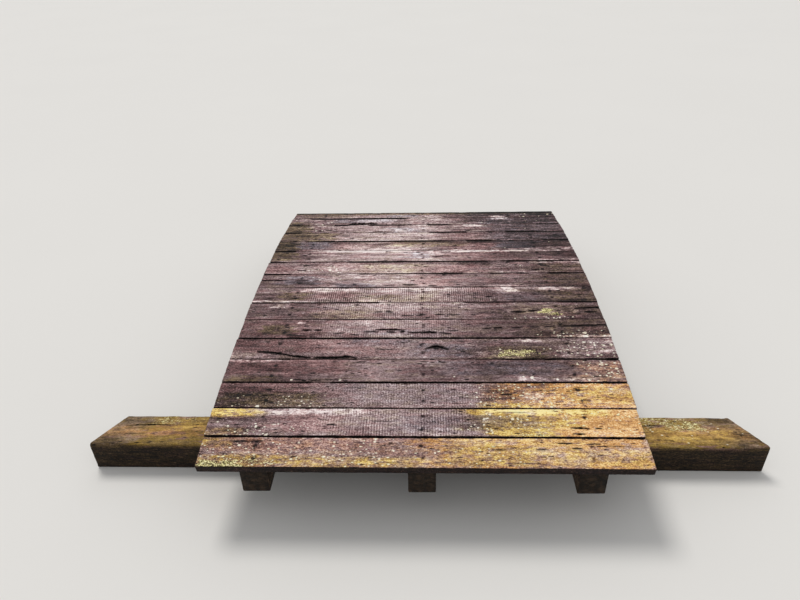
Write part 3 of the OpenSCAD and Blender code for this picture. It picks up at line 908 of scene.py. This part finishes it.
def make_board(name):
    number = board_number(name)
    shift = middle_x(name)
    s = columns_along(box_size(name)[0], BOARD_STEP)
    x = s + shift
    seed = BOARD_SEED + 50 * number

    gapes = [joint_open(number - 1, x), joint_open(number, x)]
    near = -BOARD_WIDTH / 2 + joint_set_back(gapes[0]) + END_WEAR * (number == 1)
    far = BOARD_WIDTH / 2 - joint_set_back(gapes[1]) - END_WEAR * (number == len(BOARDS))
    wear = []
    for side, gape in enumerate(gapes):
        radius = UPPER_WEAR + OPEN_WEAR * np.clip(gape, 0, 1.6)
        radius = radius + CHIP_WEAR * chips(s, seed + side, CHIP_COUNT) * np.clip(gape, 0.2, 1)
        wear.append(radius + 0.4 * smooth_noise(s, 0, 14, 1, seed + 2 + side))

    splits = []
    for k, (path, cracks) in enumerate(SPLITS.get(number, [])):
        track = long_track(x, path, cracks, seed + 10 + 5 * k)
        low, high = near + wear[0] + SPLIT_CLEARANCE, far - wear[1] - SPLIT_CLEARANCE
        track.centre = np.clip(track.centre, low, high) - near
        splits.append(track)
    tracks = grain_tracks(s, wear[0], far - near - wear[1], splits, 15, 2.2, seed + 4)

    def underside(s, along):
        return 0.25 + 0.2 * smooth_noise(s, along, 60, 12, seed + 5)

    faces = [Face([]), Face(tracks, 2, deck_relief(name)), Face([]), Face([], relief=underside)]
    under = np.full_like(s, UNDER_WEAR)
    bar = Bar(s, near, far, np.full_like(s, BOARD_THICK), [*wear, under, under], faces)
    bar.finish_ends(np.random.default_rng(seed + 6).uniform(-1, 1, 2), 1.6, seed + 7)

    def graded(near_end, far_end):
        return near_end * (far_end / near_end) ** ((number - 1) / (len(BOARDS) - 1))

    along = bar.s + shift
    exposed, hidden = bar.top, 1 - bar.top
    masks = {kind: patch_mask(number, kind, along, bar.v) * exposed for kind in PAINTED}
    crust = np.zeros_like(bar.s)
    for crust_x, crust_v, size in CRUSTS.get(number, []):
        spread = 1.6 * (CRUST_SHARE * size) ** 2
        crust = np.maximum(crust, np.exp(-((along - crust_x) ** 2 + (bar.v - crust_v) ** 2) / spread))
    masks["crust"] = crust * exposed

    tone = weathered_and_sheen_tone(number, along, bar.v) - DARK_DROP * patch_mask(number, "dark", along, bar.v)
    for nail_s, nail_v in nail_places(name):
        distance = (bar.s - nail_s) ** 2 / 26 + (bar.v - nail_v) ** 2 / graded(*NAIL_STAIN_WIDTH)
        tone = tone - graded(*NAIL_STAIN) * np.exp(-distance)
    # Painted shade: the top is darkened beside each deep split, the more the deeper it is
    for track in splits:
        reach = graded(*SPLIT_SHADE) + (track.left + track.right) / 2
        split_shaded = np.clip((track.depth - SHADED_SPLIT_DEPTH) / 8, 0, 1)
        tone = tone - 0.5 * np.exp(-((bar.v - near - track.centre) / reach) ** 2) * split_shaded
    # Painted shade: the top beside each open joint is darkened, the more the wider the joint gapes
    joint_shade = 0
    for edge, gape, reach in zip((near, far), gapes, (JOINT_SHADE_BEYOND, JOINT_SHADE_BEFORE)):
        joint_shade = joint_shade + np.exp(-((bar.v - edge) / graded(*reach)) ** 4) * np.clip(1.3 * gape - 0.45, 0, 1.4)
    # Painted shade and damp dirt: the sides and underside take a near black tone
    masks["tone"] = (tone - JOINT_SHADE_DROP * joint_shade) * exposed + SIDE_DIRT_AND_SHADE_TONE * hidden
    masks["olive"] = np.maximum(masks["olive"], HIDDEN_OLIVE * hidden)
    masks["rough"] = WEATHERING_AND_SHEEN[number][-1] * exposed + SIDE_ROUGH * hidden
    bar.grit_size = [graded(*ends) for ends in zip(GRIT_NEAR, GRIT_FAR)]
    add_piece(bar, name, place_board(name), masks, "deck_timber", 3000 * number)


# Bearers, sill beams and nails

def make_bearer(name):
    """One bearer: flat underside, top sawn to the camber"""
    width, length, depth = box_size(name)
    s = columns_along(length, BEARER_STEP)
    half = np.full_like(s, width / 2)
    seed = BEARER_SEED + 60 * board_number(name)
    top = np.sqrt(CAMBER_RADIUS ** 2 - s ** 2) - (CAMBER_RADIUS - depth)
    wear = 2.5 + 0.8 * smooth_noise(s, 0, 20, 1, seed) + chips(s, seed + 1, 8) * 0.6
    under = np.full_like(s, 3)
    faces = []
    for side in (0, 1):
        tracks = grain_tracks(s, under, top - wear, [], 26, 1.2, seed + 2 + 20 * side)
        faces += [Face(tracks, 1, rough_side(seed + 4 + side, 0.3)), Face([], 2)]
    bar = Bar(s, -half, half, top, [wear, wear, under, under], faces)
    bar.finish_ends((0.8, 0.5), 0.8, seed + 6)

    # Painted shade and damp: the bearer is dark all over, and darker still towards its top, under the deck
    # boards
    tone = 0.2 + 0.1 * smooth_noise(bar.s, bar.h, 160, 30, seed + 7) - 0.12 * ease((bar.h - depth + 45) / 45)
    olive = 0.5 + 0.4 * smooth_noise(bar.s, bar.h, 90, 40, seed + 8)
    masks = {"tone": tone, "saw": 0.4, "rough": SIDE_ROUGH, "olive": olive}
    middle, centre, bottom = box_seat(name)

    def place(s, v, h):
        return middle - v, centre + s, bottom + h

    add_piece(bar, name, place, masks, "bearer_timber", seed)


def make_sill(name, skew):
    """One sill beam, whose far edge is shorter than its near edge by the skew at each end"""
    length, width, depth = box_size(name)
    s = columns_along(length, SILL_STEP)
    half = np.full_like(s, width / 2)
    seed = SILL_SEEDS[name]
    wear = [6.5 + 1.5 * smooth_noise(s, k, 40, 1, seed) + chips(s, seed + 1 + k, 6) for k in (0, 1)]
    under = np.full_like(s, 4)
    splits = [long_track(s, path, cracks, seed + 3) for path, cracks in SILL_SPLITS]
    for track in splits:
        track.centre = track.centre + width / 2
    tracks = [
        grain_tracks(s, under, depth - wear[0], [], 24, 1.5, seed + 4),
        grain_tracks(s, wear[0], width - wear[1], splits, 18, 2.5, seed + 5),
        grain_tracks(s, wear[1], depth - under, [], 24, 1.5, seed + 6),
    ]
    faces = [Face(tracks[k], fill, rough_side(seed + 7 + k, size))
             for k, fill, size in ((0, 1, 0.4), (1, 2, 0.5), (2, 1, 0.4))]
    faces.append(Face([], 2))
    bar = Bar(s, -half, half, np.full_like(s, depth), [*wear, under, under], faces)
    bar.finish_ends((1, 1), 1.5, seed + 10)

    exposed = ease((bar.h - (depth - 16)) / 14)
    tone = layered_noise(0.5, bar.s, bar.v, SILL_STREAKS, seed + 11)
    dark = DARK_DROP * patch_mask(name, "dark", bar.s, bar.v) * exposed
    masks = {kind: patch_mask(name, kind, bar.s, bar.v) * exposed for kind in PAINTED}
    # Painted shade and damp dirt: the sill beam is dark below the top of its sides
    masks["tone"] = tone * exposed + SILL_SIDE_DIRT_AND_SHADE_TONE * (1 - exposed) - dark
    masks["olive"] = np.maximum(masks["olive"], SILL_HIDDEN_OLIVE * (1 - exposed))
    masks["rough"] = SILL_ROUGH
    middle, centre, bottom = box_seat(name)

    def place(s, v, h):
        shorter = skew / (length / 2) * (v + width / 2) / width
        return middle + s * (1 - shorter), centre + v, bottom + h

    add_piece(bar, name, place, masks, "sill_timber", seed)


def make_nails(bearer):
    """All nails driven into one bearer, as one mesh: domed heads, straight shanks and points"""
    row = BEARERS.index(bearer)
    rng = np.random.default_rng(NAIL_SEED + row)
    turn = 2 * math.pi * np.arange(NAIL_SIDES) / NAIL_SIDES
    points, faces = [], []
    for board in BOARDS:
        place = place_board(board)
        relief = deck_relief(board)
        for nail_s, nail_v in nail_places(board)[2 * row:2 * row + 2]:
            surface = BOARD_THICK - float(relief(np.array(nail_s), np.array(nail_v + BOARD_WIDTH / 2)))
            lean = rng.uniform(-0.03, 0.03, 2)
            ragged = 1 + rng.uniform(-0.12, 0.12, NAIL_SIDES)
            first = len(points)
            for radius, level in NAIL_PROFILE:
                spread = radius * (ragged if level > NAIL_HEAD_DEPTH else 1)
                s = nail_s + lean[0] * level + spread * np.cos(turn)
                v = nail_v + lean[1] * level + spread * np.sin(turn)
                points += zip(*place(s, v, surface + level))
            for ring in range(first + NAIL_SIDES, len(points), NAIL_SIDES):
                for j in range(NAIL_SIDES):
                    after = (j + 1) % NAIL_SIDES
                    faces.append((ring + j, ring + after, ring - NAIL_SIDES + after, ring - NAIL_SIDES + j))
            faces.append(range(first, first + NAIL_SIDES))
            faces.append(range(len(points) - 1, len(points) - 1 - NAIL_SIDES, -1))
    mesh = new_mesh("nails", points, faces)
    mesh.materials.append(MATERIALS["nail_steel"])
    nails = new_object("nails_" + bearer, mesh)
    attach(nails, "root")


# Materials

def srgb(red, green, blue):
    """Linear colour from an sRGB colour on the 0 to 255 scale"""
    def linear(value):
        value /= 255
        return value / 12.92 if value <= 0.04045 else ((value + 0.055) / 1.055) ** 2.4
    return (linear(red), linear(green), linear(blue), 1)


# Colours of bare and stained timber, from its darkest fibres to its palest
BARE = [(18, 11, 11), (60, 42, 43), (104, 82, 83), (150, 127, 128), (198, 175, 174), (246, 233, 230)]
RED = [(20, 11, 11), (64, 41, 40), (112, 80, 80), (160, 124, 123), (207, 173, 170), (247, 229, 225)]
GOLD = [(30, 18, 8), (88, 64, 33), (148, 114, 60), (200, 162, 86), (237, 208, 122), (254, 236, 168)]
ORANGE = [(30, 17, 10), (88, 57, 36), (146, 101, 62), (194, 141, 84), (230, 178, 116), (252, 224, 176)]
OLIVE = [(14, 10, 7), (54, 42, 30), (98, 80, 62), (144, 122, 100), (190, 169, 143), (234, 220, 197)]
MOSS = [(24, 20, 12), (72, 63, 38), (122, 111, 70), (170, 158, 104), (212, 200, 142), (244, 238, 184)]
BLUE = [(13, 11, 13), (46, 40, 44), (90, 79, 85), (138, 124, 131), (186, 173, 178), (238, 230, 234)]
CRUST = [(140, 126, 106), (182, 168, 144), (214, 201, 176), (236, 225, 202), (247, 240, 222), (253, 249, 238)]
DAMP = [(9, 7, 5), (24, 18, 12), (44, 33, 23), (74, 57, 42), (112, 90, 70), (156, 134, 110)]
OCHRE = [(20, 14, 6), (62, 47, 20), (110, 87, 38), (156, 127, 62), (198, 169, 98), (236, 215, 152)]
RUST = [(9, 7, 6), (18, 13, 11), (32, 22, 18), (52, 35, 28), (78, 55, 43)]
END_GRAIN = [(12, 8, 6), (44, 32, 27), (84, 66, 58), (128, 106, 94), (176, 152, 136), (226, 210, 196)]
# Painted shade: the colour painted into cracks
CRACK_SHADE_COLOUR = (10, 7, 6)
# Pitch of the saw marks and of the growth rings, and the rings' middle, in metres
SAW_PITCH = 0.0076
RING_PITCH = 0.0055
PITH = (0, 0.02, 0.05)
TIMBER_BUMP = 0.0009
RUST_BUMP = 0.0004
RUST_SHADE = -0.15  # what darkens the rust


def fill(socket, value):
    """Gives a node's input a plain value, or the value of a wire"""
    if isinstance(value, Wire):
        socket.id_data.links.new(value.socket, socket)
    else:
        socket.default_value = value


def add_node(tree, kind, inputs=None, output=0, **settings):
    """Output of a new shader node, with the given inputs and settings"""
    node = tree.nodes.new("ShaderNode" + kind)
    for setting, value in settings.items():
        setattr(node, setting, value)
    for place, value in (inputs or {}).items():
        fill(node.inputs[place], value)
    return Wire(node.outputs[output])


class Wire:
    """An output of a shader node, from which further nodes are made by short calls"""

    def __init__(self, socket):
        self.socket = socket

    def node(self, kind, inputs, output=0, **settings):
        return add_node(self.socket.id_data, kind, inputs, output, **settings)

    def beside(self, output):
        """Another output of the same node"""
        return Wire(self.socket.node.outputs[output])

    def math(self, operation, other=0.0, **settings):
        return self.node("Math", {0: self, 1: other}, operation=operation, **settings)

    def __add__(self, other):
        return self.math("ADD", other)

    def __mul__(self, other):
        return self.math("MULTIPLY", other)

    def __sub__(self, other):
        return self.math("SUBTRACT", other)

    def __rsub__(self, other):
        return self.node("Math", {0: other, 1: self}, operation="SUBTRACT")

    def most(self, other, **settings):
        return self.math("MAXIMUM", other, **settings)

    def scaled(self, along, across):
        """A vector made longer along the grain and across it"""
        return self.node("VectorMath", {0: self, 1: (along, across, across)}, operation="MULTIPLY")

    def noise(self, detail, roughness=0.55):
        inputs = {"Vector": self, "Scale": 1, "Detail": detail, "Roughness": roughness}
        return self.node("TexNoise", inputs, "Fac")

    def span(self, low, high, to_low=0.0, to_high=1.0):
        """Smooth step from one value to another, over a range of this one"""
        inputs = dict(enumerate((self, low, high, to_low, to_high)))
        return self.node("MapRange", inputs, interpolation_type="SMOOTHSTEP")

    def swing(self, to_low, to_high):
        """Smooth step over the range that a noise has nearly everywhere"""
        return self.span(0.3, 0.7, to_low, to_high)

    def ramp(self, colours):
        made = self.node("ValToRGB", {0: self})
        elements = made.socket.node.color_ramp.elements
        for k, colour in enumerate(colours):
            place = k / (len(colours) - 1)
            element = elements[k] if k < 2 else elements.new(place)
            element.position = place
            element.color = srgb(*colour)
        return made

    def mix(self, a, b):
        """Colour a, or b in the share that this wire gives"""
        return self.node("Mix", {0: self, 6: a, 7: b}, 2, data_type="RGBA")

    def specks(self, density):
        """Round specks of several sizes, in a share of the cells as high as the density"""
        cell = self.node("TexVoronoi", {"Vector": self, "Scale": 1}, "Color")
        chance = cell.node("SeparateColor", {0: cell})
        radius = chance.beside(1) * 0.28 + 0.14
        return (density - chance).span(0, 0.03) * (radius - cell.beside("Distance")).span(-0.06, 0.06)


def new_material(name):
    material = bpy.data.materials.new(name)
    material.use_nodes = True
    return material


def finish_surface(material, inputs, height=None, strength=0, distance=0):
    """Gives a material's surface its inputs, and a bump of the given height"""
    if height:
        bump = height.node("Bump", {"Strength": strength, "Distance": distance, "Height": height})
        inputs["Normal"] = bump
    for name, value in inputs.items():
        fill(material.node_tree.nodes["Principled BSDF"].inputs[name], value)
    return material


def timber_material(name, bare, end_grain, roughness):
    """Weathered timber, coloured by the masks on its vertices and by grain along its own axes"""
    material = new_material(name)

    def attribute(layer, output):
        return add_node(material.node_tree, "Attribute", output=output, attribute_name=layer)

    stain = {mask: attribute(mask, "Fac") for mask in MASKS}
    grain, grit = attribute("grain", "Vector"), attribute("grit", "Vector")

    # Features to the metre along and across the grain, and then to the size of the board's grit
    bands = grain.scaled(9, 62).noise(3)
    streaks = grain.scaled(20, 190).noise(4, 0.6)
    fibres = grain.scaled(60, 800).noise(2, 0.6)
    mottle = grain.scaled(190, 330).noise(3, 0.65)
    blotch = grain.scaled(50, 115).noise(3, 0.6)
    hue = grain.scaled(14, 55).noise(3, 0.6)
    ends = grain.scaled(40, 420).noise(3, 0.6)
    salt = grit.noise(1, 0.6)
    pepper = grit.scaled(-0.6, 1.1).noise(1)
    dashes = grit.scaled(0.14, 0.9).noise(1)

    place = grain.node("SeparateXYZ", {0: grain})
    turn = place * (2 * math.pi / SAW_PITCH) + bands * 5
    saw = stain["saw"] * (turn.math("SINE") * mottle.span(0.36, 0.62, 0, 1.3))
    growth = stain["lichen"].most(stain["moss"])
    for mask in ("gold", "orange", "olive"):
        growth = growth.most(stain[mask] * 0.7)
    tone = (
        stain["tone"]
        + bands.swing(-0.05, 0.05)
        + streaks.swing(-0.07, 0.07)
        + fibres.swing(-0.06, 0.06)
        + salt.swing(-1, 1) * stain["rough"]
        + pepper.span(0.28, 0.34, -2.2, 0) * stain["rough"]
        + pepper.span(0.68, 0.74, 0, 2.2) * stain["rough"]
        + grit.scaled(0.24, 0.6).specks(0.16) * -0.5
        + mottle.swing(-1, 1) * (growth * 0.05 + 0.04)
        + blotch.swing(-1, 1) * (growth * 0.06 + 0.03)
        + dashes.span(0.66, 0.74, 0, 0.16)
        + dashes.span(0.26, 0.34, -0.26, 0)
        + saw * 0.17
        + 0.014
    )
    uneven = (pepper * 0.15 + dashes * 0.3 + blotch * 0.55).span(0.36, 0.64)

    def broken(mask, most=1.0):
        """Share of a stain, mottled by the surface's own grit"""
        return (stain[mask] * (uneven * 1.4 + 0.3)).math("MINIMUM", most)

    tone = tone + broken("pale", 1.7) * 0.3
    colour = hue.span(0.5, 0.62, 0, 0.7).mix(tone.ramp(bare), tone.ramp(RED))
    colour = hue.span(0.38, 0.48, 0.35, 0).mix(colour, tone.ramp(OLIVE))
    for mask, shades in (("red", RED), ("blue", BLUE), ("olive", OLIVE), ("orange", ORANGE), ("gold", GOLD)):
        colour = broken(mask).mix(colour, tone.ramp(shades))
    moss = (salt * 1.6 + stain["moss"]).span(1.2, 1.6) * stain["moss"].span(0.02, 0.2)
    colour = moss.mix(colour, (tone + salt.span(0.35, 0.7, -0.1, 0.4)).ramp(MOSS))

    fine = grit.scaled(0.5, 0.55).specks(stain["lichen"] * 0.36)
    coarse = grit.scaled(0.36, 0.4).specks(stain["lichen"] * 0.18)
    flakes = fine.most(coarse).most((stain["crust"] + uneven * 0.35).span(0.7, 0.85))
    warm = stain["moss"].most(stain["gold"].most(stain["orange"]), use_clamp=True)
    flake_colour = (warm * 0.8).mix((tone + 0.3).ramp(CRUST), srgb(*MOSS[-1]))
    colour = (flakes * 0.85).mix(colour, flake_colour)

    offset = grain.node("VectorMath", {0: grain.scaled(0, 1), 1: PITH}, operation="ADD")
    reach = offset.node("VectorMath", {0: offset}, "Value", operation="LENGTH")
    rings = reach * (2 * math.pi / RING_PITCH) + blotch * 6
    end_tone = ends * 0.7 + bands.swing(-0.17, 0.2) + rings.math("SINE") * 0.14 + 0.03
    colour = stain["end"].mix(colour, end_tone.ramp(end_grain))
    # Painted shade: cracks are painted near black, and their lips darkened, where shade falls into them
    colour = stain["crack_shade"].span(0, 0.6).mix(colour, srgb(*CRACK_SHADE_COLOUR))

    gloss = uneven.span(0, 1, roughness - 0.12, roughness + 0.08)
    surface = {"Base Color": colour, "Roughness": gloss, "Specular IOR Level": 0.2}
    height = streaks * 0.9 + fibres * 0.35 + mottle * 0.5 + saw * 0.12 + flakes * 0.35 + moss * 0.6
    return finish_surface(material, surface, height, 0.7, TIMBER_BUMP)


def rusty_material(name):
    """Rusted steel in blotches and pits"""
    material = new_material(name)
    place = add_node(material.node_tree, "TexCoord", output="Object")
    blotch = place.scaled(420, 420).noise(3, 0.6)
    pits = place.scaled(1500, 1500).noise(2)
    colour = (blotch * 0.9 + pits * 0.2 + RUST_SHADE).ramp(RUST)
    surface = {"Base Color": colour, "Roughness": blotch.swing(0.6, 0.9)}
    surface |= {"Metallic": 0.1, "Specular IOR Level": 0.3}
    return finish_surface(material, surface, pits, 0.6, RUST_BUMP)


def floor_material(name, colour, roughness):
    """A colour that drifts a little from place to place"""
    material = new_material(name)
    drift = add_node(material.node_tree, "TexCoord", output="Object").noise(2)
    darker = [value - 3 for value in colour]
    return finish_surface(material, {"Base Color": drift.ramp([darker, colour]), "Roughness": roughness})


MATERIALS = {
    "deck_timber": timber_material("worn_deck_timber", BARE, END_GRAIN, 0.8),
    "bearer_timber": timber_material("damp_shaded_bearer_timber", DAMP, DAMP[:5], 0.75),
    "sill_timber": timber_material("mossy_sill_timber", OCHRE, DAMP[:5], 0.8),
    "nail_steel": rusty_material("rusted_nails"),
}

for name in BOARDS:
    make_board(name)
for name in BEARERS:
    make_bearer(name)
    make_nails(name)
make_sill("sill_near", NEAR_SILL_SKEW)
make_sill("sill_far", 0)


# Stage, light and camera

def make_floor():
    corners = [(-FLOOR_REACH, -FLOOR_REACH, 0), (FLOOR_REACH, -FLOOR_REACH, 0),
               (FLOOR_REACH, FLOOR_REACH, 0), (-FLOOR_REACH, FLOOR_REACH, 0)]
    mesh = bpy.data.meshes.new("floor")
    mesh.from_pydata(corners, [], [(0, 1, 2, 3)])
    mesh.materials.append(floor_material("pale_floor", FLOOR_COLOUR, 0.9))
    floor = new_object("floor", mesh)


def make_light():
    world = bpy.data.worlds.new("studio")
    world.use_nodes = True
    sky = world.node_tree.nodes["Background"]
    sky.inputs["Color"].default_value = SKY_COLOUR
    sky.inputs["Strength"].default_value = SKY_STRENGTH
    bpy.context.scene.world = world
    lamp = bpy.data.lights.new("key", "SUN")
    lamp.energy = LAMP_STRENGTH
    lamp.angle = math.radians(LAMP_SPREAD)
    lamp.color = LAMP_COLOUR
    new_object("key", lamp).rotation_euler = Vector(LAMP_FROM).to_track_quat("Z", "Y").to_euler()


def make_camera():
    camera = bpy.data.cameras.new("camera")
    camera.lens = CAMERA_LENS
    camera.sensor_width = SENSOR_WIDTH
    camera.clip_start = 0.05
    viewer = new_object("camera", camera)
    turn = Matrix.Identity(4)
    for angle, axis in ((-CAMERA_YAW, "Z"), (90 - CAMERA_DOWN, "X"), (CAMERA_ROLL, "Z")):
        turn = turn @ Matrix.Rotation(math.radians(angle), 4, axis)
    viewer.matrix_world = Matrix.Translation(CAMERA_PLACE) @ turn
    bpy.context.scene.camera = viewer


make_floor()
make_light()
make_camera()
bpy.context.scene.view_settings.view_transform = "Standard"
